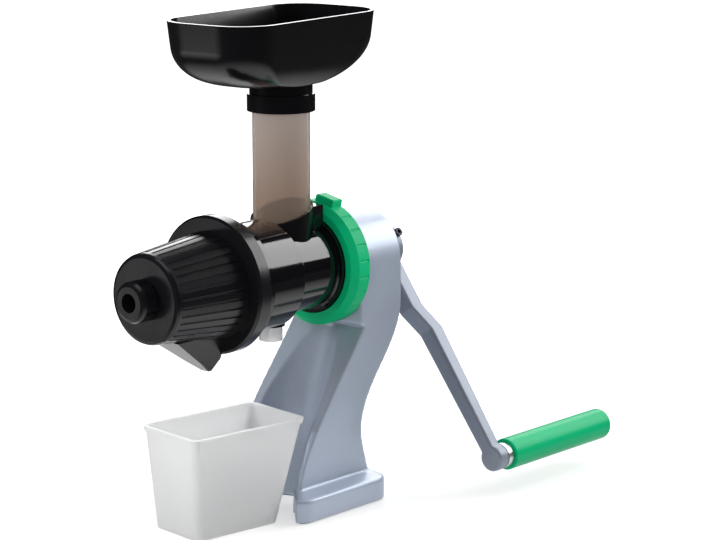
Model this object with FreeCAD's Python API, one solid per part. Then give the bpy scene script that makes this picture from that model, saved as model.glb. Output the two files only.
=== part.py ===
import FreeCAD, Part
import math
import os

# A hand cranked wheatgrass juicer: a cast stand carries a shaft, a screw press and a crank.
# Millimetres. +Z is up. The drum axis runs along Y, the outlet points to -Y and the crank is at +Y.
# The sizes below are laid out from the middle of the foot. Each piece is saved from the frame's
# origin, which is on the table under the column, on the sole's underside.

V = FreeCAD.Vector
os.makedirs("parts", exist_ok=True)

# The frame's origin, measured back from the middle of the foot
origin_y = 20.0

# Driving dimensions of the stand
axis_height = 155.0
foot_front_y = -42.5
foot_rear_y = 46.5
foot_width = 98.0
foot_height = 16.0
foot_corner_radius = 13.0
casting_edge = 2.0
sole_thickness = 0.8
sole_inset = 3.0
column_width = 62.0
column_front_y = 36.0
column_rear_y = 77.0
column_step_drop = 40.0
column_step_depth = 4.0
# Points of the column's front and rear lines: a place along Y, and a share of the axis height
column_front_line = ((0.0, 0.41), (-19.5, 0.197))
column_rear_line = ((77.0, 0.826), (69.5, 0.665), (54.0, 0.529), (42.0, 0.413), (37.0, 0.31), (39.0, 0.206))
column_foot_front_y = -26.5
recess_half_width = 25.5
recess_depth = 35.0
scoop_bottom_y = -31.4
scoop_lean = 0.32
foot_mouth_half_width = 45.0
foot_mouth_root_half_width = 27.0
foot_mouth_end_y = -25.0
spigot_radius = 31.0
bayonet_radius = 36.5
bayonet_thickness = 3.5
lug_count = 3
lug_angle = 38.0
notch_angle = 80.0
counterbore_radius = 26.0

# Driving dimensions of the shaft and its bearings
shaft_radius = 7.5
shaft_in_hub = 17.0
shaft_flat_depth = 1.2
shaft_head_radius = 12.0
shaft_head_length = 13.0
bush_radius = 10.5
bush_length = 12.0
bush_flange_radius = 13.5
bush_flange_thickness = 2.0
clip_radius = 10.5
clip_thickness = 1.2
clip_groove_depth = 0.9
drive_across_flats = 12.0
drive_length = 11.0
drive_tip_depth = 13.9
bush_well_depth = 12.0

# Driving dimensions of the press
drum_rear_radius = 28.7
drum_front_radius = 34.8
drum_bore_radius = 25.0
drum_front_bore_radius = 31.0
drum_step_y = -20.0
drum_flange_ring_radius = 40.0
drum_flange_ring_front_y = -62.0
drum_flange_ring_rear_y = -55.5
drum_front_y = -68.5
cap_spigot_radius = 36.8
drum_flange_thickness = 3.7
drum_shoulder = 3.2
drum_shoulder_from_ring = 2.5
seal_thickness = 1.5
ring_front_y = 19.0
ring_radius = 41.0
ring_chamfer = 4.0
ring_lip = 3.4
ring_tab_width = 15.0
ring_tab_length = 9.0
ring_tab_rise = 4.0
ring_tab_angle = 12.0
ring_grip_ribs = 24
ring_groove_radius = 1.0
tube_y = -6.0
tube_radius = 18.5
tube_wall = 1.8
socket_front_rise = 31.0
socket_rear_rise = 45.0
socket_wall = 1.7
saddle_half_width = 15.0
saddle_rise = 41.0
tube_seat_rise = 27.5
spout_y = -17.0
spout_radius = 7.6
spout_wall = 1.4
spout_length = 17.0
spout_tip_drop = 44.5
spout_boss_length = 7.5

# Driving dimensions of the auger and the screen
auger_radius = 24.2
auger_core_rear_radius = 10.0
auger_core_front_radius = 16.0
auger_tip_radius = 18.0
auger_pitch = 24.0
flight_thickness = 4.0
screen_rear_y = -27.0
screen_cone_y = -66.0
screen_front_y = -112.0
screen_front_radius = 19.0
screen_wall = 1.0
slot_rows = 6
slots_per_row = 14
slot_width = 1.6
slot_length = 7.0

# Driving dimensions of the end cap and the outlet
cap_face_y = -130.0
cap_face_radius = 28.3
cap_root_radius = 34.5
cap_wall = 3.0
collar_front_y = -73.2
collar_radius = 44.0
flute_count = 36
flute_radius = 1.0
face_edge = 2.5
cap_lug_angle = 36.0
cap_lug_thickness = 2.2
screen_seat_wall = 2.0
beak_tip_drop = 54.0
beak_front_y = -114.7
beak_rear_y = -71.5
beak_tip_front_y = -78.0
beak_tip_rear_y = -75.2
beak_width = 26.0
beak_middle_drop = 46.0
beak_middle_front_y = -89.5
beak_middle_width = 15.0
beak_tip_width = 6.0
beak_wall = 1.8
knob_front_y = -143.3
knob_radius = 13.0
knob_edge = 3.0
knob_scallop_radius = 2.2
knob_thread_radius = 9.0
knob_tail_length = 6.0
knob_hole_radius = 6.0
knob_lobes = 8
cap_seal_outer = 36.4
cap_seal_inner = 33.6

# Driving dimensions of the hopper
rim_height = 320.0
hopper_length = 147.0
hopper_width = 78.6
hopper_corner_radius = 27.0
hopper_centre_y = -14.6
hopper_turn = 5.0
hopper_wall_height = 17.0
hopper_depth = 43.0
hopper_wall = 2.2
hopper_draft = 2.0
neck_radius = 21.8
neck_drop = 61.5
neck_length = 11.0
neck_waist_radius = 20.2

# Driving dimensions of the crank
crank_radius = 161.0
crank_angle = 36.15
hub_radius = 15.5
hub_front_y = 79.5
hub_edge = 1.2
screw_from_hub_front = 9.5
arm_inner_y = 84.5
arm_outer_y = 92.5
arm_thickness = 12.0
arm_tip_thickness = 9.5
arm_root_width = 14.0
arm_tip_width = 10.0
arm_edge_radius = 1.8
jog_start = 48.0
jog_end = 66.0
tip_boss_radius = 8.6
tip_wall = 2.0
screw_radius = 2.2
screw_head_radius = 2.9
screw_head_height = 4.5
screw_head_distance = 18.6
spindle_radius = 4.0
collar_length = 5.3
grip_collar_radius = 8.4
grip_radius = 10.5
grip_length = 107.4
grip_end_edge = 3.5
grip_start_edge = 0.8
plug_radius = 6.5
plug_thickness = 3.0

# Driving dimensions of the juice cup
cup_height = 66.5
cup_rim_half_width = 27.0
cup_rim_half_length = 44.2
cup_side_taper = 4.5
cup_front_taper = 5.0
cup_rear_taper = 18.5
cup_corner_radius = 5.0
cup_wall = 1.6
cup_lip = 1.2
cup_lip_height = 3.0
cup_centre = (3.9, -65.2)
cup_turn = 8.0

# Clearances
running_gap = 0.05
loose_gap = 0.35
seat_gap = 0.05

# Places worked out from the sizes above
column_step_height = axis_height - column_step_drop
socket_front_height = axis_height + socket_front_rise
socket_rear_height = axis_height + socket_rear_rise
tube_bottom_height = axis_height + tube_seat_rise
spout_tip_height = axis_height - spout_tip_drop
spout_top_height = spout_tip_height + spout_length
beak_tip_height = axis_height - beak_tip_drop
beak_middle_height = axis_height - beak_middle_drop
hopper_floor_height = rim_height - hopper_depth
neck_bottom_height = rim_height - neck_drop
neck_top_height = neck_bottom_height + neck_length
ring_opening_radius = drum_rear_radius + drum_shoulder + 2 * loose_gap
ring_rear_y = column_front_y - 1.5
bayonet_rear_y = column_front_y - 4.5
bayonet_front_y = bayonet_rear_y - bayonet_thickness
drum_flange_rear_y = bayonet_front_y - seal_thickness
drum_flange_front_y = drum_flange_rear_y - drum_flange_thickness
ring_bore_radius = bayonet_radius + 1.8
tip_front_y = arm_outer_y
tip_rear_y = arm_outer_y + arm_tip_thickness
grip_start_y = tip_rear_y + collar_length + loose_gap
grip_end_y = grip_start_y + grip_length
crank_direction = V(math.sin(math.radians(crank_angle)), 0, -math.cos(math.radians(crank_angle)))
crank_side = V(math.cos(math.radians(crank_angle)), 0, math.sin(math.radians(crank_angle)))
grip_centre = V(0, 0, axis_height) + crank_direction * crank_radius


def cylinder_y(radius, y0, y1, x=0.0, z=axis_height):
    return Part.makeCylinder(radius, y1 - y0, V(x, y0, z), V(0, 1, 0))


def tube_y_solid(outer, inner, y0, y1, x=0.0, z=axis_height):
    return cylinder_y(outer, y0, y1, x, z).cut(cylinder_y(inner, y0 - 1, y1 + 1, x, z))


def cylinder_z(radius, z0, z1, x, y):
    return Part.makeCylinder(radius, z1 - z0, V(x, y, z0), V(0, 0, 1))


def block(x0, x1, y0, y1, z0, z1):
    return Part.makeBox(x1 - x0, y1 - y0, z1 - z0, V(x0, y0, z0))


def revolved(profile, height=axis_height):
    """Turn a closed outline of (radius, y) points about the drum axis."""
    points = [V(0, y, height + r) for r, y in profile]
    wire = Part.makePolygon(points + points[:1])
    return Part.Face(wire).revolve(V(0, 0, height), V(0, 1, 0), 360)


def around_axis(shape, angle):
    turned = shape.copy()
    turned.rotate(V(0, 0, axis_height), V(0, 1, 0), angle)
    return turned


def hexagon_y(across_flats, y0, y1, height=axis_height):
    radius = across_flats / math.sqrt(3)
    corners = [V(radius * math.cos(math.radians(a)), y0, height + radius * math.sin(math.radians(a)))
               for a in range(0, 360, 60)]
    return Part.Face(Part.makePolygon(corners + corners[:1])).extrude(V(0, y1 - y0, 0))


def sector_y(radius, y0, y1, middle_angle, spread):
    """A pie slice about the drum axis, its middle at an angle from straight up."""
    half = math.radians(spread / 2)
    reach = 2 * radius
    corners = [V(0, y0, axis_height),
               V(-reach * math.tan(half), y0, axis_height + reach),
               V(reach * math.tan(half), y0, axis_height + reach)]
    slice_face = Part.Face(Part.makePolygon(corners + corners[:1]))
    wedge = slice_face.extrude(V(0, y1 - y0, 0)).common(cylinder_y(radius, y0, y1))
    return around_axis(wedge, middle_angle)


def rounded_outline(half_x, y0, y1, radius, z):
    """A rectangle with round corners, lying flat at one height."""
    x0 = -half_x
    x1 = half_x
    r = radius
    s = r * math.sin(math.radians(45))
    edges = [
        Part.LineSegment(V(x0 + r, y0, z), V(x1 - r, y0, z)).toShape(),
        Part.Arc(V(x1 - r, y0, z), V(x1 - r + s, y0 + r - s, z), V(x1, y0 + r, z)).toShape(),
        Part.LineSegment(V(x1, y0 + r, z), V(x1, y1 - r, z)).toShape(),
        Part.Arc(V(x1, y1 - r, z), V(x1 - r + s, y1 - r + s, z), V(x1 - r, y1, z)).toShape(),
        Part.LineSegment(V(x1 - r, y1, z), V(x0 + r, y1, z)).toShape(),
        Part.Arc(V(x0 + r, y1, z), V(x0 + r - s, y1 - r + s, z), V(x0, y1 - r, z)).toShape(),
        Part.LineSegment(V(x0, y1 - r, z), V(x0, y0 + r, z)).toShape(),
        Part.Arc(V(x0, y0 + r, z), V(x0 + r - s, y0 + r - s, z), V(x0 + r, y0, z)).toShape(),
    ]
    return Part.Wire(edges)


def curve(points):
    spline = Part.BSplineCurve()
    spline.interpolate(points)
    return spline.toShape()


def save(name, shape):
    placed = shape.copy()
    placed.translate(V(0, -origin_y, 0))
    placed.exportStep("parts/" + name + ".step")


def foot_mouth(inset):
    """The wedge of space between the foot's two arms, which end in slanting faces."""
    tip = foot_mouth_half_width + inset
    root = foot_mouth_root_half_width + inset
    front = foot_front_y - 1.0
    corners = [V(-tip, front, -1), V(tip, front, -1), V(root, foot_mouth_end_y + inset, -1),
               V(-root, foot_mouth_end_y + inset, -1)]
    return Part.Face(Part.makePolygon(corners + corners[:1])).extrude(V(0, 0, foot_height + 20))


# Stand: foot, leaning column with a scooped front, round-topped bearing block and bayonet flange
def make_stand():
    half = column_width / 2
    foot_face = Part.Face(rounded_outline(foot_width / 2, foot_front_y, foot_rear_y, foot_corner_radius,
                                          sole_thickness))
    foot = foot_face.extrude(V(0, 0, foot_height - sole_thickness))
    top_edges = [e for e in foot.Edges if e.BoundBox.ZMin > foot_height - 0.1]
    foot = foot.makeFillet(casting_edge, top_edges)

    front_top = V(-half, column_front_y + column_step_depth, column_step_height)
    front_bottom = V(-half, column_foot_front_y, sole_thickness)
    rear_top = V(-half, column_rear_y, axis_height)
    rear_bottom = V(-half, foot_rear_y - casting_edge, foot_height - casting_edge)
    front_points = [V(-half, y, share * axis_height) for y, share in column_front_line]
    rear_points = [V(-half, y, share * axis_height) for y, share in column_rear_line]
    front = curve([front_top] + front_points + [front_bottom])
    rear = curve(rear_points + [rear_bottom])
    edges = [
        Part.makeLine(rear_top, V(-half, column_front_y, axis_height)),
        Part.makeLine(V(-half, column_front_y, axis_height), V(-half, column_front_y, column_step_height)),
        Part.makeLine(V(-half, column_front_y, column_step_height), front_top),
        front,
        Part.makeLine(front_bottom, V(-half, rear_bottom.y, sole_thickness)),
        Part.makeLine(V(-half, rear_bottom.y, sole_thickness), rear_bottom),
        rear,
        Part.makeLine(rear_points[0], rear_top),
    ]
    side = Part.Face(Part.Wire(Part.__sortEdges__(edges)))
    column = side.extrude(V(column_width, 0, 0))
    head = cylinder_y(half, column_front_y, column_rear_y)
    head_edges = [e for e in head.Edges if abs(e.BoundBox.YMin - column_rear_y) < 0.01
                  and abs(e.BoundBox.YMax - column_rear_y) < 0.01]
    head = head.makeFillet(casting_edge, head_edges)
    body = column.fuse(head).fuse(foot)

    # The scoop leans less than the front face, so its mouth closes to an arch at the top
    scoop_top_z = column_step_height + 5
    ellipse = Part.Ellipse(V(0, 0, 0), recess_depth, recess_half_width)
    ellipse_wire = Part.Wire(ellipse.toShape())
    ellipse_wire.rotate(V(0, 0, 0), V(0, 0, 1), 90)
    lower = ellipse_wire.copy()
    lower.translate(V(0, scoop_bottom_y, -1))
    upper = ellipse_wire.copy()
    upper.translate(V(0, scoop_bottom_y + scoop_lean * (scoop_top_z + 1), scoop_top_z))
    scoop = Part.makeLoft([lower, upper], True, True)
    below_flange = block(-half, half, -100, column_front_y + 30, -1, column_step_height - 3)
    scoop = scoop.common(below_flange)

    # The foot's arms end in rounded tips outside the scoop
    body = body.cut(scoop).cut(foot_mouth(0))

    # Bayonet flange with three notches that let the ring's lugs through
    neck = cylinder_y(spigot_radius, bayonet_rear_y - 0.5, column_front_y + 1)
    flange = cylinder_y(bayonet_radius, bayonet_front_y, bayonet_rear_y)
    for i in range(lug_count):
        notch = sector_y(bayonet_radius + 1, bayonet_front_y - 1, bayonet_rear_y + 0.2,
                         60 + i * 360 / lug_count, notch_angle)
        inside = cylinder_y(spigot_radius + 1.4, bayonet_front_y - 2, bayonet_rear_y + 2)
        flange = flange.cut(notch.cut(inside))
    body = body.fuse(neck).fuse(flange)

    # Bearing bores
    body = body.cut(cylinder_y(bush_radius + seat_gap, bayonet_front_y - 1, column_rear_y + 1))
    body = body.cut(cylinder_y(counterbore_radius, bayonet_front_y - 1, front_bush_face_y))
    body = body.cut(cylinder_y(bush_flange_radius + seat_gap, rear_bush_face_y, column_rear_y + 1))

    return body.removeSplitter()


# Rubber sole: a thin sheet under the foot, set in from its edge
def make_rubber_sole():
    sheet = Part.Face(rounded_outline(foot_width / 2 - sole_inset, foot_front_y + sole_inset,
                                      foot_rear_y - sole_inset, foot_corner_radius - sole_inset, 0))
    sheet = sheet.extrude(V(0, 0, sole_thickness))
    opening = Part.Ellipse(V(0, 0, 0), recess_depth + sole_inset, recess_half_width + sole_inset)
    opening_wire = Part.Wire(opening.toShape())
    opening_wire.rotate(V(0, 0, 0), V(0, 0, 1), 90)
    opening_wire.translate(V(0, scoop_bottom_y, -1))
    return sheet.cut(Part.Face(opening_wire).extrude(V(0, 0, 5))).cut(foot_mouth(sole_inset))


# Bearings and shaft
front_bush_face_y = column_front_y + bush_well_depth
rear_bush_face_y = column_rear_y - bush_flange_thickness


def make_bush(flange_y, direction):
    inner_end = flange_y - direction * bush_length
    y0 = min(flange_y, inner_end)
    y1 = max(flange_y, inner_end)
    flange_end = flange_y + direction * bush_flange_thickness
    sleeve = cylinder_y(bush_radius, y0, y1)
    flange = cylinder_y(bush_flange_radius, min(flange_y, flange_end), max(flange_y, flange_end))
    return sleeve.fuse(flange).cut(cylinder_y(shaft_radius + running_gap, y0 - 5, y1 + 5)).removeSplitter()


thrust_front_y = front_bush_face_y - bush_flange_thickness
shaft_head_rear_y = thrust_front_y - 1.6
shaft_head_front_y = shaft_head_rear_y - shaft_head_length
clip_front_y = rear_bush_face_y + bush_flange_thickness + 0.3
shaft_end_y = hub_front_y + shaft_in_hub


def make_drive_shaft():
    head = cylinder_y(shaft_head_radius, shaft_head_front_y, shaft_head_rear_y)
    body = cylinder_y(shaft_radius, shaft_head_rear_y - 1, shaft_end_y)
    body = body.fuse(head)
    body = body.cut(hexagon_y(drive_across_flats + 0.2, shaft_head_front_y - 1,
                              shaft_head_front_y + drive_length + 0.6))
    groove = tube_y_solid(shaft_radius + 1, shaft_radius - clip_groove_depth, clip_front_y - 0.05,
                          clip_front_y + clip_thickness + 0.05)
    body = body.cut(groove)
    flat = Part.makeBox(2 * shaft_radius + 4, shaft_in_hub, 4,
                        V(-shaft_radius - 2, hub_front_y + 1, shaft_radius - shaft_flat_depth))
    flat.rotate(V(0, 0, 0), V(0, 1, 0), 90 - crank_angle)
    flat.translate(V(0, 0, axis_height))
    return body.cut(flat).removeSplitter()


def make_thrust_washer():
    return tube_y_solid(shaft_head_radius - 0.5, shaft_radius + seat_gap, shaft_head_rear_y,
                        thrust_front_y - 0.1)


def make_retaining_clip():
    clip_rear_y = clip_front_y + clip_thickness
    clip = tube_y_solid(clip_radius, shaft_radius - clip_groove_depth + seat_gap, clip_front_y, clip_rear_y)
    return clip.cut(sector_y(clip_radius + 1, clip_front_y - 1, clip_rear_y + 1, 180, 60))


# Locking ring: a lip in front of the drum's flange and lugs behind the stand's flange
def make_lock_ring():
    shell = revolved([
        (ring_opening_radius, ring_front_y),
        (ring_radius - ring_chamfer, ring_front_y),
        (ring_radius, ring_front_y + ring_chamfer),
        (ring_radius, ring_rear_y - 1.0),
        (ring_radius - 1.0, ring_rear_y),
        (ring_bore_radius, ring_rear_y),
        (ring_bore_radius, ring_front_y + ring_lip),
        (ring_opening_radius, ring_front_y + ring_lip),
    ])
    for i in range(lug_count):
        lug = sector_y(ring_bore_radius + 1, bayonet_rear_y + loose_gap, ring_rear_y,
                       i * 360 / lug_count, lug_angle)
        lug = lug.cut(cylinder_y(spigot_radius + 2.0, bayonet_rear_y - 1, ring_rear_y + 1))
        shell = shell.fuse(lug)
    tab_rear_y = ring_rear_y - 0.5
    tab = block(-ring_tab_width / 2, ring_tab_width / 2, tab_rear_y - ring_tab_length, tab_rear_y,
                axis_height + ring_radius - 3.0, axis_height + ring_radius + ring_tab_rise)
    tab = tab.makeFillet(1.2, [e for e in tab.Edges if e.BoundBox.ZMin > axis_height + ring_radius + 1])
    shell = shell.fuse(around_axis(tab, ring_tab_angle))
    grooves = []
    for i in range(ring_grip_ribs):
        angle = (i + 0.5) * 360 / ring_grip_ribs
        away_from_tab = abs((angle - ring_tab_angle + 180) % 360 - 180)
        if away_from_tab > 20:
            groove = cylinder_y(ring_groove_radius, ring_front_y + ring_chamfer + 1, ring_rear_y - 2, 0,
                                axis_height + ring_radius + ring_groove_radius / 2)
            grooves.append(around_axis(groove, angle))
    return shell.cut(Part.makeCompound(grooves)).removeSplitter()


def make_drum_seal():
    inner = drum_spigot_radius + loose_gap
    return tube_y_solid(spigot_radius + 1.2, inner, drum_flange_rear_y, bayonet_front_y)


# Drum: a wide front part, a narrower rear part, a flange for the ring and a socket for the feed tube
drum_spigot_radius = counterbore_radius - 0.4
drum_spigot_rear_y = bayonet_front_y + 1.5


def make_drum():
    shoulder_y = ring_front_y - drum_shoulder_from_ring
    outer = revolved([
        (0, drum_front_y),
        (cap_spigot_radius, drum_front_y),
        (cap_spigot_radius, drum_flange_ring_front_y),
        (drum_flange_ring_radius, drum_flange_ring_front_y),
        (drum_flange_ring_radius, drum_flange_ring_rear_y),
        (drum_front_radius, drum_flange_ring_rear_y + 1.0),
        (drum_front_radius, drum_step_y - 2.5),
        (drum_front_radius - 2.0, drum_step_y),
        (drum_rear_radius, drum_step_y + 0.5),
        (drum_rear_radius, shoulder_y - drum_shoulder / 3),
        (drum_rear_radius + drum_shoulder / 3, shoulder_y),
        (drum_rear_radius + drum_shoulder, shoulder_y),
        (drum_rear_radius + drum_shoulder, drum_flange_front_y),
        (bayonet_radius, drum_flange_front_y),
        (bayonet_radius, drum_flange_rear_y),
        (drum_spigot_radius, drum_flange_rear_y),
        (drum_spigot_radius, drum_spigot_rear_y),
        (0, drum_spigot_rear_y),
    ])
    # The tube's socket runs back to the ring as a saddle, and its top slopes down towards the front
    socket_top = socket_rear_height + 5
    socket = cylinder_z(tube_radius + socket_wall, axis_height, socket_top, 0, tube_y)
    saddle_top = axis_height + saddle_rise
    saddle = block(-saddle_half_width, saddle_half_width, tube_y, shoulder_y + 0.5, axis_height, saddle_top)
    reach = tube_radius + socket_wall + 2.0
    above = socket_rear_height + 2 * reach
    slope = [V(-reach, tube_y - reach, socket_front_height), V(-reach, tube_y + reach, socket_rear_height),
             V(-reach, tube_y + reach, above), V(-reach, tube_y - reach, above)]
    sloping_space = Part.Face(Part.makePolygon(slope + slope[:1])).extrude(V(2 * reach, 0, 0))
    socket = socket.fuse(saddle).cut(sloping_space)
    spout_boss = cylinder_z(spout_radius + 1.6, spout_top_height - spout_boss_length, axis_height, 0, spout_y)
    outer = outer.fuse(socket).fuse(spout_boss)
    front_bore_end = screen_rear_y
    bore = cylinder_y(drum_bore_radius, front_bore_end - 1, drum_flange_rear_y - 3.0)
    wide_bore = cylinder_y(drum_front_bore_radius, drum_front_y - 1, front_bore_end)
    shaft_hole = cylinder_y(auger_stub_radius + loose_gap, 0, drum_spigot_rear_y + 1)
    chute = cylinder_z(tube_radius - tube_wall, axis_height, socket_rear_height + 6, 0, tube_y)
    tube_seat = cylinder_z(tube_radius + seat_gap, tube_bottom_height, socket_rear_height + 6, 0, tube_y)
    drain_top = axis_height - drum_bore_radius + 3
    drain = cylinder_z(spout_radius - spout_wall, spout_tip_height, drain_top, 0, spout_y)
    spout_seat = cylinder_z(spout_radius + seat_gap, spout_tip_height, spout_top_height, 0, spout_y)
    body = outer.cut(bore).cut(wide_bore).cut(shaft_hole).cut(chute).cut(tube_seat).cut(drain).cut(spout_seat)
    # Three lugs on the front spigot hold the end cap
    for i in range(lug_count):
        lug = sector_y(cap_lug_reach, drum_front_y, drum_front_y + cap_lug_thickness,
                       90 + i * 360 / lug_count, cap_lug_angle)
        body = body.fuse(lug.cut(cylinder_y(cap_spigot_radius - 1.0, drum_front_y - 1, drum_front_y + 5)))
    return body


cap_lug_reach = 40.4
auger_stub_radius = 8.5


def make_feed_tube():
    top = neck_top_height - 2.5
    outer = cylinder_z(tube_radius, tube_bottom_height + seat_gap, top, 0, tube_y)
    return outer.cut(cylinder_z(tube_radius - tube_wall, 0, rim_height, 0, tube_y))


def make_drain_spout():
    outer = cylinder_z(spout_radius, spout_tip_height, spout_top_height - seat_gap, 0, spout_y)
    return outer.cut(cylinder_z(spout_radius - spout_wall, 0, axis_height, 0, spout_y))


# Hopper: an upright rim, a dished underside and a neck that slips over the feed tube
def hopper_body(inset, rim_z, floor_z):
    wall_z = rim_height - hopper_wall_height
    half_x = hopper_width / 2 - inset
    y0 = hopper_centre_y - hopper_length / 2 + inset
    y1 = hopper_centre_y + hopper_length / 2 - inset
    r = hopper_corner_radius - inset
    rim = rounded_outline(half_x, y0, y1, r, rim_z)
    shoulder_x = half_x - hopper_draft
    shoulder_y0 = y0 + hopper_draft
    shoulder_y1 = y1 - hopper_draft
    shoulder_r = r - hopper_draft
    shoulder_z = wall_z + inset * 0.3
    shoulder = rounded_outline(shoulder_x, shoulder_y0, shoulder_y1, shoulder_r, shoulder_z)
    upper = Part.makeLoft([shoulder, rim], True, True)
    bowl_steps = [shoulder]
    # The front end keeps fuller than the sides and the rear on its way down to the neck
    for share, front_share, drop in ((0.10, 0.05, 0.34), (0.34, 0.20, 0.68)):
        bowl_steps.append(rounded_outline(
            shoulder_x - share * (shoulder_x - neck_radius),
            shoulder_y0 + front_share * (tube_y - neck_radius - shoulder_y0),
            shoulder_y1 - share * (shoulder_y1 - tube_y - neck_radius),
            shoulder_r + share * (neck_radius - shoulder_r),
            shoulder_z - drop * (shoulder_z - floor_z)))
    end = neck_radius + 4.0 - inset
    bowl_steps.append(rounded_outline(end, tube_y - end, tube_y + end, end - 0.5, floor_z))
    lower = Part.makeLoft(bowl_steps, True, False)
    return upper.fuse(lower)


def make_hopper():
    outer = hopper_body(0.0, rim_height, hopper_floor_height)
    waist = cylinder_z(neck_waist_radius, neck_bottom_height, hopper_floor_height + 2, 0, tube_y)
    outer = outer.fuse(waist)
    outer = outer.fuse(cylinder_z(neck_radius, neck_bottom_height, neck_top_height, 0, tube_y))
    inner = hopper_body(hopper_wall, rim_height + 1, hopper_floor_height + hopper_wall)
    body = outer.cut(inner)
    body.rotate(V(0, tube_y, 0), V(0, 0, 1), hopper_turn)
    throat = cylinder_z(tube_radius - tube_wall, neck_bottom_height - 1, rim_height, 0, tube_y)
    sleeve = cylinder_z(tube_radius + loose_gap, neck_bottom_height - 1, neck_top_height - 2.0, 0, tube_y)
    return body.cut(throat).cut(sleeve)


# Auger: a tapering core with one flight, a plain nose and a round stub that holds the drive tip
auger_rear_y = drum_flange_rear_y - 3.6
auger_front_y = screen_front_y - 2.0


def outside_nose_cone():
    """All the space beyond the tapered front of the auger."""
    far = 3 * auger_radius
    return revolved([(auger_tip_radius, auger_front_y - 1), (auger_radius + 0.001, screen_cone_y - 2),
                     (far, screen_cone_y - 2), (far, auger_front_y - 1)], 0)


def make_auger():
    core = revolved([
        (0, auger_front_y), (auger_core_front_radius, auger_front_y),
        (auger_core_front_radius, auger_front_y + 14), (auger_core_rear_radius, auger_rear_y - 30),
        (auger_core_rear_radius, auger_rear_y - 4), (auger_radius - 2, auger_rear_y - 3),
        (auger_radius - 2, auger_rear_y), (auger_stub_radius, auger_rear_y),
        (auger_stub_radius, shaft_head_front_y - 1.0), (0, shaft_head_front_y - 1.0)], 0)
    flight_start = 3.0
    flight_end = 5.0
    flight_length = auger_rear_y - auger_front_y - flight_start - flight_end
    helix = Part.makeHelix(auger_pitch, flight_length, auger_core_rear_radius)
    half = flight_thickness / 2
    inner = auger_core_rear_radius - 3.0
    edge = half * 0.7
    corners = [V(inner, 0, -half), V(auger_radius, 0, -edge), V(auger_radius, 0, edge), V(inner, 0, half)]
    section = Part.makePolygon(corners + corners[:1])
    flight = Part.Wire(helix.Edges).makePipeShell([section], True, True)
    flight.rotate(V(0, 0, 0), V(1, 0, 0), -90)
    flight.translate(V(0, auger_front_y + flight_start, 0))
    flight = flight.cut(outside_nose_cone())
    body = core.fuse(flight)
    hole_end = shaft_head_front_y - drive_tip_depth - 0.1
    tip_hole = hexagon_y(drive_across_flats + 0.1, hole_end, shaft_head_front_y, 0)
    # Mirrored so that the crank, turned clockwise by a person behind it, presses towards the outlet
    body = body.cut(tip_hole).mirror(V(0, 0, 0), V(1, 0, 0))
    body.translate(V(0, 0, axis_height))
    return body


def make_drive_tip():
    front_end = shaft_head_front_y - drive_tip_depth
    return hexagon_y(drive_across_flats, front_end, shaft_head_front_y + drive_length)


# Screen: a slotted steel sleeve whose front tapers inside the cap, held by a plastic rim
def make_screen():
    inner = drum_bore_radius - 0.2
    shell = revolved([
        (inner, screen_rear_y), (inner + screen_wall, screen_rear_y),
        (inner + screen_wall, screen_cone_y), (screen_front_radius + screen_wall, screen_front_y),
        (screen_front_radius, screen_front_y), (inner, screen_cone_y)])
    slots = []
    first_y = screen_rear_y - 9.0
    row_step = (screen_rear_y - screen_front_y - 16.0) / slot_rows
    for row in range(slot_rows):
        y = first_y - row * row_step
        for i in range(slots_per_row):
            slot = block(-slot_width / 2, slot_width / 2, y - slot_length / 2, y + slot_length / 2,
                         axis_height + 10, axis_height + inner + 6)
            slots.append(around_axis(slot, (i + 0.5 * (row % 2)) * 360 / slots_per_row))
    return shell.cut(Part.makeCompound(slots))


def make_screen_rim():
    inner = drum_bore_radius - 0.2 + screen_wall + seat_gap
    return tube_y_solid(drum_front_bore_radius - seat_gap, inner, screen_rear_y - 6.0, screen_rear_y)


# End cap: a fluted cone with a dished face, a wide collar and a pointed drip beak
def cap_cone_radius(y):
    share = (y - cap_face_y) / (collar_front_y - cap_face_y)
    return cap_face_radius + share * (cap_root_radius - cap_face_radius)


collar_rear_y = drum_flange_ring_front_y - 0.5
collar_wall_y = drum_front_y - 1.9
cap_inner_face_y = cap_face_y + cap_wall

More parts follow.
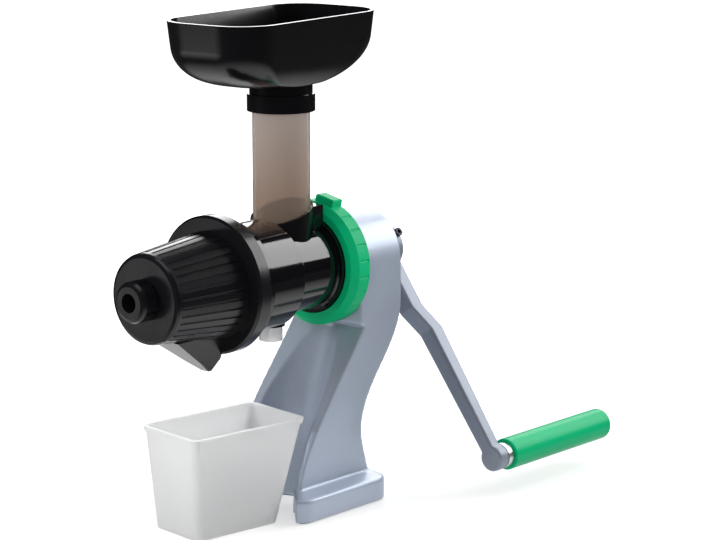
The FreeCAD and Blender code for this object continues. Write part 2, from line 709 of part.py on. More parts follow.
def make_end_cap():
    outer = revolved([
        (0, cap_face_y), (cap_face_radius - face_edge, cap_face_y),
        (cap_cone_radius(cap_face_y + face_edge) - 0.7, cap_face_y + 0.7),
        (cap_cone_radius(cap_face_y + face_edge), cap_face_y + face_edge),
        (cap_root_radius, collar_front_y), (collar_radius - 1.5, collar_front_y),
        (collar_radius, collar_front_y + 1.5), (collar_radius, collar_rear_y - 0.8),
        (collar_radius - 0.8, collar_rear_y), (0, collar_rear_y)])
    flutes = []
    for i in range(flute_count):
        front_y = cap_face_y + 4.5
        rear_y = collar_front_y - 2.5
        start = V(0, front_y, axis_height + cap_cone_radius(front_y) + flute_radius / 4)
        end = V(0, rear_y, axis_height + cap_cone_radius(rear_y) + flute_radius / 4)
        groove = Part.makeCylinder(flute_radius, (end - start).Length, start, end - start)
        flutes.append(around_axis(groove, (i + 0.5) * 360 / flute_count))
    body = outer.cut(Part.makeCompound(flutes))
    body = body.fuse(make_beak())
    cavity = revolved([
        (0, cap_inner_face_y), (cap_face_radius - cap_wall - 1.0, cap_inner_face_y),
        (cap_root_radius - cap_wall, collar_front_y - 1.0), (cap_root_radius - cap_wall, collar_wall_y + 1),
        (0, collar_wall_y + 1)])
    skirt = cylinder_y(cap_lug_reach + loose_gap, collar_wall_y, collar_rear_y + 1)
    outlet = cylinder_y(knob_thread_radius + 0.3, cap_face_y - 1, cap_inner_face_y + 1)
    body = body.cut(cavity).cut(skirt).cut(outlet).cut(beak_shape(beak_wall))
    seat_inner = screen_front_radius + screen_wall + loose_gap
    seat = tube_y_solid(seat_inner + screen_seat_wall, seat_inner, cap_inner_face_y - 1, screen_front_y + 2.0)
    body = body.fuse(seat.cut(beak_shape(beak_wall)))
    lug_rear = collar_rear_y - 0.8
    lug_front = drum_front_y + cap_lug_thickness + loose_gap
    for i in range(lug_count):
        lug = sector_y(collar_radius - 1.0, lug_front, lug_rear, 90 + i * 360 / lug_count, cap_lug_angle)
        body = body.fuse(lug.cut(cylinder_y(cap_spigot_radius + loose_gap, lug_front - 1, lug_rear + 1)))
    return body.removeSplitter()


def beak_shape(inset):
    """A pointed trough: wide where it meets the cone, narrow at the tip that the juice leaves by."""
    top_height = axis_height - cap_root_radius + 6.0
    levels = [(top_height + 2 * inset, beak_front_y - 3 * inset, beak_rear_y, beak_width),
              (beak_middle_height, beak_middle_front_y, beak_rear_y, beak_middle_width),
              (beak_tip_height - 0.1 * inset, beak_tip_front_y, beak_tip_rear_y, beak_tip_width)]
    sections = []
    for z, front, rear, width in levels:
        inner_front = front + min(1.6 * inset, 0.35 * (rear - front))
        inner_rear = rear - min(inset, 0.2 * (rear - front))
        half = width / 2 - min(inset, 0.3 * width)
        if inset == 0:
            half = width / 2
        sections.append(Part.makePolygon([
            V(-half, inner_front, z), V(half, inner_front, z), V(half, inner_rear, z),
            V(-half, inner_rear, z), V(-half, inner_front, z)]))
    return Part.makeLoft(sections, True, True)


def make_beak():
    return beak_shape(0.0)


def make_cap_seal():
    return tube_y_solid(cap_seal_outer, cap_seal_inner, collar_wall_y, drum_front_y - 0.25)


# Outlet knob: a lobed collar with a short threaded tail inside the cap
def make_outlet_knob():
    tail_end = cap_inner_face_y + knob_tail_length
    lobed_end = knob_front_y + knob_edge
    body = revolved([
        (0, knob_front_y), (knob_radius - knob_edge, knob_front_y),
        (knob_radius - knob_edge / 3, knob_front_y + knob_edge / 3),
        (knob_radius, lobed_end), (knob_radius, cap_face_y - 1.4), (knob_radius - 1.0, cap_face_y - 0.4),
        (knob_thread_radius, cap_face_y - 0.4), (knob_thread_radius, tail_end), (0, tail_end)])
    scallops = []
    for i in range(knob_lobes):
        scallop = cylinder_y(knob_scallop_radius, lobed_end + knob_edge / 2, cap_face_y, 0,
                             axis_height + knob_radius + knob_scallop_radius / 2)
        scallops.append(around_axis(scallop, (i + 0.5) * 360 / knob_lobes))
    body = body.cut(Part.makeCompound(scallops))
    return body.cut(cylinder_y(knob_hole_radius, knob_front_y - 1, tail_end + 1))


# Crank: hub, jogged tapering arm and a boss for the spindle
def along_crank(distance, y, side=0.0):
    place = V(0, 0, axis_height) + crank_direction * distance + crank_side * side
    return V(place.x, y, place.z)


def arm_section(distance, y0, width, thickness):
    """The arm's outline across its length: a rectangle with round corners."""
    r = arm_edge_radius
    s = r * math.sin(math.radians(45))
    y1 = y0 + thickness
    w = width / 2
    marks = [(-w + r, y0), (w - r, y0), (w - r + s, y0 + r - s), (w, y0 + r), (w, y1 - r),
             (w - r + s, y1 - r + s), (w - r, y1), (-w + r, y1), (-w + r - s, y1 - r + s), (-w, y1 - r),
             (-w, y0 + r), (-w + r - s, y0 + r - s)]
    p = [along_crank(distance, y, side) for side, y in marks]
    return Part.Wire([
        Part.makeLine(p[0], p[1]), Part.Arc(p[1], p[2], p[3]).toShape(),
        Part.makeLine(p[3], p[4]), Part.Arc(p[4], p[5], p[6]).toShape(),
        Part.makeLine(p[6], p[7]), Part.Arc(p[7], p[8], p[9]).toShape(),
        Part.makeLine(p[9], p[10]), Part.Arc(p[10], p[11], p[0]).toShape()])


def arm_width(distance):
    return arm_root_width + (arm_tip_width - arm_root_width) * distance / crank_radius


def make_crank_arm():
    stations = [(0, arm_inner_y, arm_thickness), (jog_start, arm_inner_y, arm_thickness),
                (jog_end, arm_outer_y, arm_thickness),
                (crank_radius - tip_boss_radius - 2, arm_outer_y, arm_tip_thickness),
                (crank_radius, arm_outer_y, arm_tip_thickness)]
    sections = [arm_section(d, y, arm_width(d), t) for d, y, t in stations]
    arm = Part.makeLoft(sections, True, True)
    hub = cylinder_y(hub_radius, hub_front_y, arm_inner_y + arm_thickness + 1.5)
    hub = hub.makeFillet(hub_edge, [hub.Edges[0], hub.Edges[2]])
    tip = cylinder_y(tip_boss_radius, tip_front_y, tip_rear_y, grip_centre.x, grip_centre.z)
    tip = tip.makeFillet(hub_edge, [tip.Edges[0], tip.Edges[2]])
    body = arm.fuse(hub).fuse(tip)
    body = body.cut(cylinder_y(shaft_radius + seat_gap, hub_front_y - 1, shaft_end_y + 0.05))
    body = body.cut(cylinder_y(spindle_radius + seat_gap, tip_front_y + tip_wall, tip_rear_y + 1,
                               grip_centre.x, grip_centre.z))
    screw_hole = Part.makeCylinder(screw_radius + seat_gap, hub_radius + 2,
                                   V(0, screw_y, axis_height), crank_side)
    return body.cut(screw_hole)


screw_y = hub_front_y + screw_from_hub_front


def make_set_screw():
    start = V(0, screw_y, axis_height) + crank_side * (shaft_radius - shaft_flat_depth + seat_gap)
    reach = screw_head_distance - shaft_radius + shaft_flat_depth - seat_gap
    stem = Part.makeCylinder(screw_radius, reach, start, crank_side)
    head_start = start + crank_side * reach
    head = Part.makeCylinder(screw_head_radius, screw_head_height, head_start, crank_side)
    socket = Part.makeCylinder(1.5, 2.5, head_start + crank_side * (screw_head_height - 2.5), crank_side)
    return stem.fuse(head).cut(socket)


# Grip: a plain sleeve that turns on a steel spindle behind a bright collar
def make_spindle():
    x = grip_centre.x
    z = grip_centre.z
    head_front_y = grip_end_y - plug_thickness - 4.0
    pin = cylinder_y(spindle_radius, tip_front_y + tip_wall + 0.3, head_front_y, x, z)
    head = cylinder_y(plug_radius - 0.6, head_front_y, head_front_y + 3.0, x, z)
    return pin.fuse(head)


def make_grip_collar():
    x = grip_centre.x
    z = grip_centre.z
    collar = tube_y_solid(grip_collar_radius, spindle_radius + seat_gap, tip_rear_y + 0.05,
                          tip_rear_y + collar_length, x, z)
    return collar


def make_grip():
    x = grip_centre.x
    z = grip_centre.z
    body = cylinder_y(grip_radius, grip_start_y, grip_end_y, x, z)
    rear_edge = [e for e in body.Edges if e.BoundBox.YMin > grip_end_y - 0.01]
    body = body.makeFillet(grip_end_edge, rear_edge)
    front_edge = [e for e in body.Edges if e.BoundBox.YMax < grip_start_y + 0.01]
    body = body.makeFillet(grip_start_edge, front_edge)
    body = body.cut(cylinder_y(spindle_radius + 0.08, grip_start_y - 1, grip_end_y, x, z))
    pocket = cylinder_y(plug_radius, grip_end_y - plug_thickness - 4.4, grip_end_y + 1, x, z)
    return body.cut(pocket)


def make_grip_plug():
    return cylinder_y(plug_radius - seat_gap, grip_end_y - plug_thickness, grip_end_y - 0.2,
                      grip_centre.x, grip_centre.z)


# Juice cup: a tapered box whose rear wall slants under the press
def cup_outline(inset, z, extra=0.0):
    drop = 1.0 - z / cup_height
    half = cup_rim_half_width - cup_side_taper * drop - inset + extra
    y0 = -cup_rim_half_length + cup_front_taper * drop + inset - extra
    y1 = cup_rim_half_length - cup_rear_taper * drop - inset + extra
    return rounded_outline(half, y0, y1, cup_corner_radius - inset + extra, z)


def make_juice_cup():
    outer = Part.makeLoft([cup_outline(0, 0), cup_outline(0, cup_height)], True, True)
    lip_z = cup_height - cup_lip_height
    lip = Part.makeLoft([cup_outline(0, lip_z, cup_lip), cup_outline(0, cup_height, cup_lip)], True, True)
    inside = [cup_outline(cup_wall, cup_wall), cup_outline(cup_wall, cup_height + 1)]
    inner = Part.makeLoft(inside, True, True)
    cup = outer.fuse(lip).cut(inner)
    cup.rotate(V(0, 0, 0), V(0, 0, 1), -cup_turn)
    cup.translate(V(cup_centre[0], cup_centre[1], 0))
    return cup


makers = {
    "stand": make_stand,
    "rubber_sole": make_rubber_sole,
    "front_bush": lambda: make_bush(front_bush_face_y, -1),
    "rear_bush": lambda: make_bush(rear_bush_face_y, 1),
    "drive_shaft": make_drive_shaft,
    "thrust_washer": make_thrust_washer,
    "retaining_clip": make_retaining_clip,
    "lock_ring": make_lock_ring,
    "drum_seal": make_drum_seal,
    "drum": make_drum,
    "feed_tube": make_feed_tube,
    "drain_spout": make_drain_spout,
    "hopper": make_hopper,
    "auger": make_auger,
    "drive_tip": make_drive_tip,
    "screen": make_screen,
    "screen_rim": make_screen_rim,
    "end_cap": make_end_cap,
    "cap_seal": make_cap_seal,
    "outlet_knob": make_outlet_knob,
    "crank_arm": make_crank_arm,
    "set_screw": make_set_screw,
    "grip_spindle": make_spindle,
    "grip_collar": make_grip_collar,
    "grip": make_grip,
    "grip_plug": make_grip_plug,
    "juice_cup": make_juice_cup,
}

for node, maker in makers.items():
    shape = maker()
    save(node, shape)
    box = shape.BoundBox
    extents = [round(v, 1) for v in (box.XMin, box.XMax, box.YMin, box.YMax, box.ZMin, box.ZMax)]
    print(node, "valid", shape.isValid(), "solids", len(shape.Solids),
          "volume", round(shape.Volume / 1000, 2), extents)
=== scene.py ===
import math

import bpy
from bpy.props import FloatProperty, FloatVectorProperty, PointerProperty
from mathutils import Matrix, Vector


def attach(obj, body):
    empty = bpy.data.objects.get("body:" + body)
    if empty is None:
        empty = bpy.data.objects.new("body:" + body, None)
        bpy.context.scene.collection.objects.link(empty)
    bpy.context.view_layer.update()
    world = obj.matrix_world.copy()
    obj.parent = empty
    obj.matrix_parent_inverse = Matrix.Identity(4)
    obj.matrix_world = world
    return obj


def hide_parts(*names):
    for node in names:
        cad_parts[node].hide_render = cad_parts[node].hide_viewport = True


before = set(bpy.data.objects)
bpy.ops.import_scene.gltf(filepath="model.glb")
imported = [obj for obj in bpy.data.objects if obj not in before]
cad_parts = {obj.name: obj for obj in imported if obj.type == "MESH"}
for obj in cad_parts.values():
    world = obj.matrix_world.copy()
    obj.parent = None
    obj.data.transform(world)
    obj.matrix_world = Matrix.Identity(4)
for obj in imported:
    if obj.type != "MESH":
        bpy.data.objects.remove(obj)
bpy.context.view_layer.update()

bl_info = {
    "name": "Wheatgrass juicer dresser",
    "version": (1, 0, 0),
    "blender": (4, 5, 0),
    "location": "3D View > Sidebar > Juicer",
    "description": "Dresses the hand cranked wheatgrass juicer and sets up its studio",
    "category": "Object",
}

# Castings: size of the even skin's cells in metres, and how often their edges are smoothed
STAND_CELL = 0.0011
ARM_CELL = 0.0006
SMOOTHING_PASSES = 5

# Heights between which the feed tube's colour goes from dark at the bottom to pale at the top, in metres
TUBE_DARK_TO_PALE_HEIGHTS = (0.19, 0.27)

# Metals, as linear colours
STEEL = (0.62, 0.63, 0.65)
SCREEN_STEEL = (0.66, 0.66, 0.67)
BLACKENED_STEEL = (0.03, 0.03, 0.035)
BRONZE = (0.55, 0.36, 0.16)
RUBBER = (0.02, 0.02, 0.021)

# The arm gets the stand's paint darkened, as painted shade for the arm's shaded front face; both are one
# paint
ARM_PAINTED_SHADE_SHARE = 0.55

# The point that the softboxes face, in metres
LIT_MIDDLE = (0.02, 0.0, 0.15)

# Floor, in metres: its width, and the distances over which its mirrored brightness and whiteness change
FLOOR_SIZE = 30.0
MIRROR_FADE = (0.2, 0.42)
WHITE_FADE = (0.25, 0.8)
# A second bright stretch, which the end cap's face mirrors
FRONT_TABLE = (-0.5, -0.72, 0.0)
FRONT_TABLE_FADE = (0.02, 0.35)
# Grey levels of the floor: its paint, its paint in far mirrors, its glow near the juicer
FLOOR_GREYS = (0.53, 0.55)
MIRRORED_GREY = 0.04
NEAR_GLOW = 0.5

# Share of the room's brightness that mirrors and clear pieces see
MIRRORED_ROOM = 0.07


# Helpers for objects

def node_object(name):
    """The CAD node's own object."""
    return bpy.data.objects[name]


def clear_selection():
    if bpy.context.mode != "OBJECT":
        bpy.ops.object.mode_set(mode="OBJECT")
    bpy.ops.object.select_all(action="DESELECT")


def pick(piece):
    clear_selection()
    piece.select_set(True)
    bpy.context.view_layer.objects.active = piece


def dress(name, material):
    """Give a CAD node's slots one finish."""
    piece = node_object(name)
    piece.data.materials.clear()
    piece.data.materials.append(material)


def copy_node(name, new_name):
    """A loose copy of a CAD node's mesh, its corners merged, ready to be finished."""
    source = node_object(name)
    mesh = source.data.copy()
    piece = bpy.data.objects.new(new_name, mesh)
    bpy.context.scene.collection.objects.link(piece)
    piece.matrix_world = source.matrix_world.copy()
    pick(piece)
    bpy.ops.object.mode_set(mode="EDIT")
    bpy.ops.mesh.select_all(action="SELECT")
    bpy.ops.mesh.remove_doubles(threshold=0.00001)
    bpy.ops.object.mode_set(mode="OBJECT")
    bpy.ops.object.transform_apply(location=True, rotation=True, scale=True)
    return piece


def finish(piece, material, body, node, slot):
    """Place, dress and register a finished piece."""
    pick(piece)
    bpy.ops.object.transform_apply(location=True, rotation=True, scale=True)
    piece.data.materials.clear()
    piece.data.materials.append(material)
    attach(piece, body)
    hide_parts(node)


def soften_casting(piece, cell):
    """Round every edge a little, as a sand casting's edges are."""
    pick(piece)
    remesh = piece.modifiers.new("Even skin", "REMESH")
    remesh.mode = "VOXEL"
    remesh.voxel_size = cell
    remesh.use_smooth_shade = True
    bpy.ops.object.modifier_apply(modifier=remesh.name)
    smooth = piece.modifiers.new("Cast edges", "SMOOTH")
    smooth.factor = 0.5
    smooth.iterations = SMOOTHING_PASSES
    bpy.ops.object.modifier_apply(modifier=smooth.name)


# Finishes

class Wire:
    """A value or a colour on its way through a finish's nodes."""

    def __init__(self, finish, socket):
        self.finish = finish
        self.socket = socket

    def _maths(self, operation, *values):
        return self.finish.add("ShaderNodeMath", {"operation": operation}, dict(enumerate(values)))

    def __add__(self, other):
        return self._maths("ADD", self, other)

    def __radd__(self, other):
        return self._maths("ADD", other, self)

    def __sub__(self, other):
        return self._maths("SUBTRACT", self, other)

    def __rsub__(self, other):
        return self._maths("SUBTRACT", other, self)

    def __mul__(self, other):
        return self._maths("MULTIPLY", self, other)

    def __rmul__(self, other):
        return self._maths("MULTIPLY", other, self)

    def clamped(self):
        return self.finish.add("ShaderNodeClamp", {}, {0: self})


class Finish:
    """One procedural material, built on Object coordinates in metres."""

    def __init__(self, name):
        self.material = bpy.data.materials.new(name)
        self.material.use_nodes = True
        self.tree = self.material.node_tree
        self.shader = self.tree.nodes["Principled BSDF"]
        self.place = self.add("ShaderNodeTexCoord", {}, {}, "Object")

    def add(self, kind, settings, inputs, output=0):
        node = self.tree.nodes.new(kind)
        for key, value in settings.items():
            setattr(node, key, value)
        for key, value in inputs.items():
            self.link(node.inputs[key], value)
        return Wire(self, node.outputs[output])

    def link(self, socket, value):
        if isinstance(value, Wire):
            self.tree.links.new(value.socket, socket)
        else:
            socket.default_value = value

    def set(self, **values):
        """Set the shader's own sockets; underscores stand for spaces."""
        for key, value in values.items():
            self.link(self.shader.inputs[key.replace("_", " ")], value)

    def noise(self, size, detail=3.0, roughness=0.5, place=None):
        inputs = {"Vector": place or self.place, "Scale": 1 / size, "Detail": detail, "Roughness": roughness}
        return self.add("ShaderNodeTexNoise", {}, inputs, "Fac")

    def stretched(self, x, y, z):
        return self.add("ShaderNodeMapping", {}, {"Vector": self.place, "Scale": (x, y, z)})

    def ramp(self, value, low, high):
        """Map a value from low..high to 0..1, clamped."""
        inputs = {"Value": value, "From Min": low, "From Max": high}
        return self.add("ShaderNodeMapRange", {}, inputs, "Result")

    def mix(self, share, a, b):
        """Blend two colours."""
        node = self.tree.nodes.new("ShaderNodeMix")
        node.data_type = "RGBA"
        self.link(node.inputs[0], share)
        self.link(node.inputs[6], a)
        self.link(node.inputs[7], b)
        return Wire(self, node.outputs[2])

    def bump(self, height, distance, strength=1.0):
        inputs = {"Strength": strength, "Distance": distance, "Height": height}
        self.set(Normal=self.add("ShaderNodeBump", {}, inputs))


def rgb(colour):
    return (colour[0], colour[1], colour[2], 1.0)


def grey(level):
    return (level, level, level, 1.0)


def scaled(colour, factor):
    return (colour[0] * factor, colour[1] * factor, colour[2] * factor, 1.0)


def cast_paint(name, colour, roughness, metallic, grain):
    """Silver-grey paint over a casting: fine orange peel, faint clouding and softly rubbed patches."""
    f = Finish(name)
    peel = f.noise(0.0011, 2.0, 0.6)
    cloud = f.ramp(f.noise(0.045, 3.0), 0.35, 0.65)
    speck = f.ramp(f.noise(0.0006, 1.0), 0.3, 0.7)
    tone = f.mix(cloud, scaled(colour, 0.95), scaled(colour, 1.05))
    f.set(Base_Color=f.mix(speck * 0.35, tone, scaled(colour, 1.22)))
    f.set(Roughness=roughness - 0.04 + 0.08 * cloud + 0.04 * speck)
    f.set(Metallic=metallic, Coat_Weight=0.25, Coat_Roughness=0.22)
    f.bump(peel + 0.5 * f.noise(0.006, 2.0), grain, 0.35)
    return f.material


def moulded_plastic(name, colour, roughness, coat, specular=0.5, peel=0.00003):
    """Moulded plastic: even colour, a faint flow pattern in its gloss and a very fine skin."""
    f = Finish(name)
    flow = f.ramp(f.noise(0.018, 3.0, 0.5, f.stretched(1.0, 0.35, 1.0)), 0.3, 0.7)
    dust = f.ramp(f.noise(0.0015, 4.0, 0.7), 0.62, 0.8)
    f.set(Base_Color=f.mix(flow * 0.6 + dust * 0.2, scaled(colour, 0.94), scaled(colour, 1.10)))
    f.set(Roughness=roughness + 0.05 * flow + 0.06 * dust)
    f.set(Coat_Weight=coat, Coat_Roughness=0.06, Specular_IOR_Level=specular)
    f.bump(f.noise(0.0009, 2.0) + f.noise(0.01, 2.0), peel, 0.5)
    return f.material


def smoked_plastic(name, low_colour, high_colour, low, high):
    """Smoke coloured clear plastic, paler towards the top, with faint flow lines."""
    f = Finish(name)
    height = f.add("ShaderNodeSeparateXYZ", {}, {0: f.place}, "Z")
    rise = f.ramp(height, low, high)
    flow = f.ramp(f.noise(0.012, 3.0, 0.5, f.stretched(1.0, 1.0, 0.3)), 0.3, 0.7)
    f.set(Base_Color=f.mix(rise + 0.06 * flow, rgb(low_colour), rgb(high_colour)))
    f.set(Roughness=0.10 + 0.05 * flow)
    f.set(Transmission_Weight=0.75, IOR=1.4, Specular_IOR_Level=0.2)
    return f.material


def milky_plastic(name, colour, roughness, clear, scatter):
    """Milky plastic: light spreads in its wall and some passes straight through."""
    f = Finish(name)
    flow = f.ramp(f.noise(0.02, 3.0, 0.5, f.stretched(1.0, 1.0, 0.4)), 0.3, 0.7)
    f.set(Base_Color=f.mix(flow, scaled(colour, 0.98), rgb(colour)))
    f.set(Roughness=roughness + 0.06 * flow)
    f.set(Transmission_Weight=clear, IOR=1.4, Specular_IOR_Level=0.4)
    f.set(Subsurface_Weight=scatter, Subsurface_Radius=(1.0, 1.0, 1.0), Subsurface_Scale=0.006)
    f.bump(f.noise(0.012, 2.0), 0.00004, 0.3)
    return f.material


def turned_metal(name, colour, roughness):
    """Turned or drawn metal: fine lines and slightly uneven polish."""
    f = Finish(name)
    lines = f.noise(0.0004, 2.0, 0.6, f.stretched(0.05, 1.0, 0.05))
    smear = f.ramp(f.noise(0.012, 3.0), 0.3, 0.7)
    f.set(Base_Color=f.mix(smear, scaled(colour, 0.9), rgb(colour)), Metallic=1.0)
    f.set(Roughness=roughness + 0.08 * smear + 0.06 * lines)
    f.bump(lines, 0.00002, 0.5)
    return f.material


def rubber(name, colour):
    """Matt rubber with a powdery bloom."""
    f = Finish(name)
    bloom = f.ramp(f.noise(0.006, 4.0, 0.6), 0.35, 0.75)
    f.set(Base_Color=f.mix(bloom, rgb(colour), scaled(colour, 1.8)), Roughness=0.78 + 0.1 * bloom)
    f.set(Specular_IOR_Level=0.3)
    f.bump(f.noise(0.0007, 3.0), 0.00004, 0.5)
    return f.material


# Settings a user would change

class JuicerFinishes(bpy.types.PropertyGroup):
    """Colours of the juicer's visible plastics and paint."""
    paint: FloatVectorProperty(name="Casting paint", description="Silver-grey paint of stand and crank",
                               subtype="COLOR", size=3, min=0.0, max=1.0, default=(0.40, 0.45, 0.55))
    green: FloatVectorProperty(name="Green", description="Locking ring and grip",
                               subtype="COLOR", size=3, min=0.0, max=1.0, default=(0.0005, 0.45, 0.18))
    black: FloatVectorProperty(name="Black", description="Drum, hopper and end cap",
                               subtype="COLOR", size=3, min=0.0, max=1.0, default=(0.004, 0.004, 0.005))
    smoke: FloatVectorProperty(name="Smoke", description="Lower end of the feed tube",
                               subtype="COLOR", size=3, min=0.0, max=1.0, default=(0.50, 0.38, 0.30))
    pale_smoke: FloatVectorProperty(name="Pale smoke", description="Upper end of the feed tube",
                                    subtype="COLOR", size=3, min=0.0, max=1.0, default=(0.65, 0.60, 0.575))
    milk: FloatVectorProperty(name="Milky", description="Juice cup and drain spout",
                              subtype="COLOR", size=3, min=0.0, max=1.0, default=(0.97, 0.975, 0.98))


class JuicerStudio(bpy.types.PropertyGroup):
    """The camera's place and the strength of the lamps."""
    azimuth: FloatProperty(name="Azimuth", description="Camera's angle round the juicer, from in front",
                           subtype="ANGLE", default=math.radians(40.95))
    elevation: FloatProperty(name="Elevation", description="Camera's angle above the horizon",
                             subtype="ANGLE", default=math.radians(11.59))
    distance: FloatProperty(name="Distance", description="Camera to the point it looks at",
                            subtype="DISTANCE", default=1.69696)
    target: FloatVectorProperty(name="Target", description="Point the camera looks at",
                                subtype="XYZ", size=3, default=(0.03527, 0.008, 0.15396))
    lens: FloatProperty(name="Lens", description="Focal length in millimetres on a 36 mm sensor",
                        default=132.3, min=20.0, max=300.0)
    key: FloatProperty(name="Lamps", description="Strength of all the softboxes together",
                       default=1.0, min=0.0)
    room: FloatProperty(name="Room", description="Brightness of the room round the juicer",
                        default=0.30, min=0.0)


class JUICER_OT_castings(bpy.types.Operator):
    """Dress the stand and the crank arm as painted castings"""
    bl_idname = "juicer.castings"
    bl_label = "Castings"

    def execute(self, context):
        look = context.scene.juicer_finishes
        stand_paint = cast_paint("Painted casting", look.paint, 0.42, 0.45, 0.00006)
        stand = copy_node("stand", "cast_stand")
        soften_casting(stand, STAND_CELL)
        finish(stand, stand_paint, "base", "stand", "cast_metal")
        # The crank's paint is the stand's paint darkened: painted shade, not a darker paint
        crank_paint_with_painted_shade = cast_paint("Painted crank", scaled(look.paint, ARM_PAINTED_SHADE_SHARE), 0.5, 0.4, 0.00004)
        arm = copy_node("crank_arm", "cast_arm")
        soften_casting(arm, ARM_CELL)
        finish(arm, crank_paint_with_painted_shade, "crank", "crank_arm", "crank_metal")
        dress("stand", stand_paint)
        dress("crank_arm", crank_paint_with_painted_shade)
        return {"FINISHED"}


class JUICER_OT_press(bpy.types.Operator):
    """Dress the drum, the end cap, the knob and the locking ring"""
    bl_idname = "juicer.press"
    bl_label = "Press"

    def execute(self, context):
        look = context.scene.juicer_finishes
        gloss = moulded_plastic("Gloss black drum", look.black, 0.05, 0.0, 0.5)
        dress("drum", gloss)
        dress("screen_rim", gloss)
        satin = moulded_plastic("Satin black cap", scaled(look.black, 1.5), 0.22, 0.0, 0.4, 0.00005)
        dress("end_cap", satin)
        dress("outlet_knob", satin)
        dress("lock_ring", moulded_plastic("Green ring", look.green, 0.4, 0.0, 0.12))
        dress("auger", moulded_plastic("Glass filled auger", scaled(look.black, 4.0), 0.5, 0.0, 0.4, 0.0001))
        return {"FINISHED"}


class JUICER_OT_feed(bpy.types.Operator):
    """Dress the hopper, the feed tube and the drain spout"""
    bl_idname = "juicer.feed"
    bl_label = "Feed"

    def execute(self, context):
        look = context.scene.juicer_finishes
        dress("hopper", moulded_plastic("Gloss black hopper", look.black, 0.16, 0.0, 0.4))
        dress("feed_tube", smoked_plastic("Smoke tube", look.smoke, look.pale_smoke, *TUBE_DARK_TO_PALE_HEIGHTS))
        dress("drain_spout", milky_plastic("Milky spout", look.milk, 0.25, 0.6, 0.5))
        return {"FINISHED"}


class JUICER_OT_handle(bpy.types.Operator):
    """Dress the grip, its spindle and its collar, and the hub's screw"""
    bl_idname = "juicer.handle"
    bl_label = "Handle"

    def execute(self, context):
        look = context.scene.juicer_finishes
        green = moulded_plastic("Green grip", look.green, 0.3, 0.0, 0.12, 0.00006)
        dress("grip", green)
        dress("grip_plug", green)
        steel = turned_metal("Turned steel", STEEL, 0.22)
        for name in ("grip_collar", "grip_spindle", "drive_shaft", "drive_tip", "retaining_clip"):
            dress(name, steel)
        dress("set_screw", turned_metal("Blackened screw", BLACKENED_STEEL, 0.35))
        return {"FINISHED"}


class JUICER_OT_inner(bpy.types.Operator):
    """Dress the screen, the bushes, the washer, the seals and the sole"""
    bl_idname = "juicer.inner"
    bl_label = "Inner parts"

    def execute(self, context):
        dress("screen", turned_metal("Screen steel", SCREEN_STEEL, 0.25))
        bronze = turned_metal("Sintered bronze", BRONZE, 0.38)
        for name in ("front_bush", "rear_bush", "thrust_washer"):
            dress(name, bronze)
        black = rubber("Black rubber", RUBBER)
        for name in ("rubber_sole", "drum_seal", "cap_seal"):
            dress(name, black)
        return {"FINISHED"}


class JUICER_OT_cup(bpy.types.Operator):
    """Dress the juice cup"""
    bl_idname = "juicer.cup"
    bl_label = "Juice cup"

    def execute(self, context):
        look = context.scene.juicer_finishes
        dress("juice_cup", milky_plastic("Milky cup", look.milk, 0.4, 0.5, 1.0))
        return {"FINISHED"}


class JUICER_OT_stage(bpy.types.Operator):
    """Set up the floor, the lamps, the world and the camera"""
    bl_idname = "juicer.stage"
    bl_label = "Stage"

    def execute(self, context):
        studio = context.scene.juicer_studio
        make_floor()
        make_world(context.scene, studio)
        make_lamps(studio)
        make_camera(context.scene, studio)
        return {"FINISHED"}


def make_floor():
    """A wide pale floor: white to the camera and through clear pieces, in mirrors only near the juicer."""
    clear_selection()
    bpy.ops.mesh.primitive_plane_add(size=FLOOR_SIZE, location=(0.0, 0.0, 0.0))
    floor = bpy.context.active_object
    floor.name = "studio_floor"
    bpy.ops.object.transform_apply(location=True, rotation=True, scale=True)
    f = Finish("Pale floor")
    reach = f.add("ShaderNodeVectorMath", {"operation": "LENGTH"}, {0: f.place}, "Value")
    ahead = f.add("ShaderNodeVectorMath", {"operation": "DISTANCE"}, {0: f.place, 1: FRONT_TABLE}, "Value")
    table = (2.0 - f.ramp(reach, *MIRROR_FADE) - f.ramp(ahead, *FRONT_TABLE_FADE)).clamped()
    glossy = f.add("ShaderNodeLightPath", {}, {}, "Is Glossy Ray")
    pale = f.mix(f.noise(0.6, 2.0), grey(FLOOR_GREYS[0]), grey(FLOOR_GREYS[1]))
    f.set(Base_Color=f.mix(glossy * (1.0 - table), pale, grey(MIRRORED_GREY)), Roughness=0.9)
    f.set(Specular_IOR_Level=0.0)
    paleness = f.mix(f.ramp(reach, *WHITE_FADE), grey(NEAR_GLOW), grey(1.0))
    glow = f.add("ShaderNodeEmission", {}, {"Color": paleness, "Strength": 1.0})
    both = f.add("ShaderNodeAddShader", {}, {0: Wire(f, f.shader.outputs[0]), 1: glow})
    share = seen_directly(f, glossy * table)
    choice = f.add("ShaderNodeMixShader", {}, {0: share, 1: Wire(f, f.shader.outputs[0]), 2: both})
    f.tree.links.new(choice.socket, f.tree.nodes["Material Output"].inputs["Surface"])
    floor.data.materials.append(f.material)


def seen_directly(f, mirrored):
    """One for rays from the camera or through a clear piece, and the share given for mirrored rays."""
    camera = f.add("ShaderNodeLightPath", {}, {}, "Is Camera Ray")
    through = f.add("ShaderNodeLightPath", {}, {}, "Is Transmission Ray")
    return (camera + mirrored + through).clamped()


class WorldFinish(Finish):
    """The world's nodes, with the same helpers as a material."""

    def __init__(self, world):
        self.tree = world.node_tree


def make_world(scene, studio):
    """A dim, even room that the camera sees as white past the floor's edge."""
    world = bpy.data.worlds.new("Studio")
    world.use_nodes = True
    scene.world = world
    f = WorldFinish(world)
    camera = f.add("ShaderNodeLightPath", {}, {}, "Is Camera Ray")
    diffuse = f.add("ShaderNodeLightPath", {}, {}, "Is Diffuse Ray")
    background = world.node_tree.nodes["Background"]
    background.inputs["Color"].default_value = (1.0, 1.0, 1.0, 1.0)
    strength = MIRRORED_ROOM * studio.room + (1.0 - MIRRORED_ROOM) * studio.room * diffuse + camera
    f.link(background.inputs["Strength"], strength)


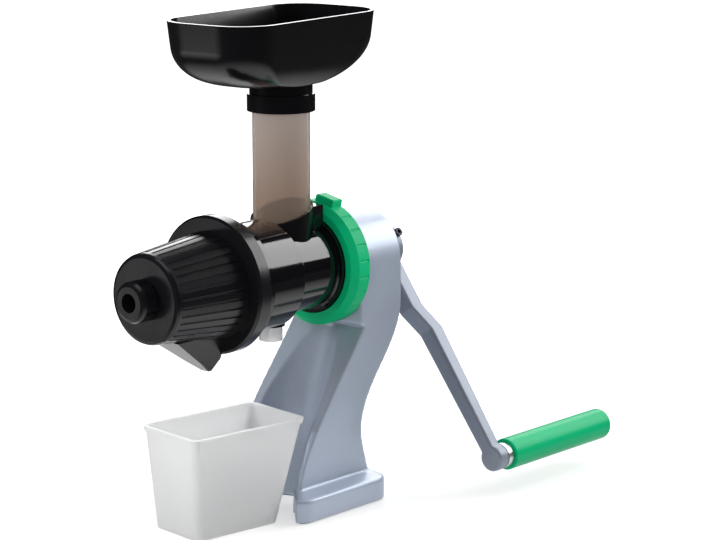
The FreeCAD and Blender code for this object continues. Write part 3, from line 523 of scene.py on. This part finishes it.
def softbox(name, direction, distance, width, height, radiance, mirrored=True, along=(1.0, 0.0, 0.0)):
    """A rectangular lamp facing the juicer, as bright as radiance; its width runs as near along as it can."""
    middle = Vector(LIT_MIDDLE)
    away = Vector(direction).normalized()
    lamp = bpy.data.lights.new(name, "AREA")
    lamp.shape = "RECTANGLE"
    lamp.size = width
    lamp.size_y = height
    lamp.energy = math.pi * width * height * radiance
    holder = bpy.data.objects.new(name, lamp)
    bpy.context.scene.collection.objects.link(holder)
    side = Vector(along)
    side = (side - away * side.dot(away)).normalized()
    turn = Matrix((side, away.cross(side), away)).transposed().to_4x4()
    holder.matrix_world = Matrix.Translation(middle + away * distance) @ turn
    holder.visible_glossy = mirrored


def make_lamps(studio):
    softbox("Rear right softbox", (0.381, 0.789, 0.482), 1.3, 0.96, 0.62, 6.5 * studio.key,
            along=(0.78, 0.0, -0.62))
    softbox("Overhead softbox", (0.05, 0.1, 1.0), 1.5, 1.1, 1.1, 1.3 * studio.key)
    softbox("Rear top softbox", (-0.48, 0.74, 0.46), 1.5, 1.3, 0.7, 4.5 * studio.key)
    softbox("Front right fill", (0.85, -0.7, 0.35), 1.8, 1.2, 1.0, 2.3 * studio.key, False)
    softbox("Front left softbox", (-0.55, -0.9, 0.5), 1.8, 1.2, 1.2, 6.0 * studio.key, False)


def make_camera(scene, studio):
    camera = bpy.data.cameras.new("Photo camera")
    camera.sensor_fit = "HORIZONTAL"
    camera.sensor_width = 36.0
    camera.lens = studio.lens
    camera.clip_end = 50.0
    holder = bpy.data.objects.new("Photo camera", camera)
    scene.collection.objects.link(holder)
    az = studio.azimuth
    el = studio.elevation
    target = Vector(studio.target)
    away = Vector((math.sin(az) * math.cos(el), -math.cos(az) * math.cos(el), math.sin(el)))
    turn = (-away).to_track_quat("-Z", "Y").to_matrix().to_4x4()
    holder.matrix_world = Matrix.Translation(target + away * studio.distance) @ turn
    scene.camera = holder
    scene.view_settings.view_transform = "Standard"


class JUICER_PT_panel(bpy.types.Panel):
    """Lists the juicer's steps and settings"""
    bl_idname = "JUICER_PT_panel"
    bl_label = "Wheatgrass juicer"
    bl_space_type = "VIEW_3D"
    bl_region_type = "UI"
    bl_category = "Juicer"

    def draw(self, context):
        column = self.layout.column()
        for group in (context.scene.juicer_finishes, context.scene.juicer_studio):
            for name in group.__annotations__:
                column.prop(group, name)
        for step in STEPS:
            column.operator(step)


STEPS = ("juicer.castings", "juicer.press", "juicer.feed", "juicer.handle", "juicer.inner", "juicer.cup",
         "juicer.stage")

CLASSES = (JuicerFinishes, JuicerStudio, JUICER_OT_castings, JUICER_OT_press, JUICER_OT_feed,
           JUICER_OT_handle, JUICER_OT_inner, JUICER_OT_cup, JUICER_OT_stage, JUICER_PT_panel)


def register():
    for cls in CLASSES:
        bpy.utils.register_class(cls)
    bpy.types.Scene.juicer_finishes = PointerProperty(type=JuicerFinishes)
    bpy.types.Scene.juicer_studio = PointerProperty(type=JuicerStudio)


def unregister():
    del bpy.types.Scene.juicer_studio
    del bpy.types.Scene.juicer_finishes
    for cls in reversed(CLASSES):
        bpy.utils.unregister_class(cls)


def main():
    register()
    clear_selection()
    for step in STEPS:
        group, name = step.split(".")
        getattr(getattr(bpy.ops, group), name)()


if __name__ == "__main__":
    main()
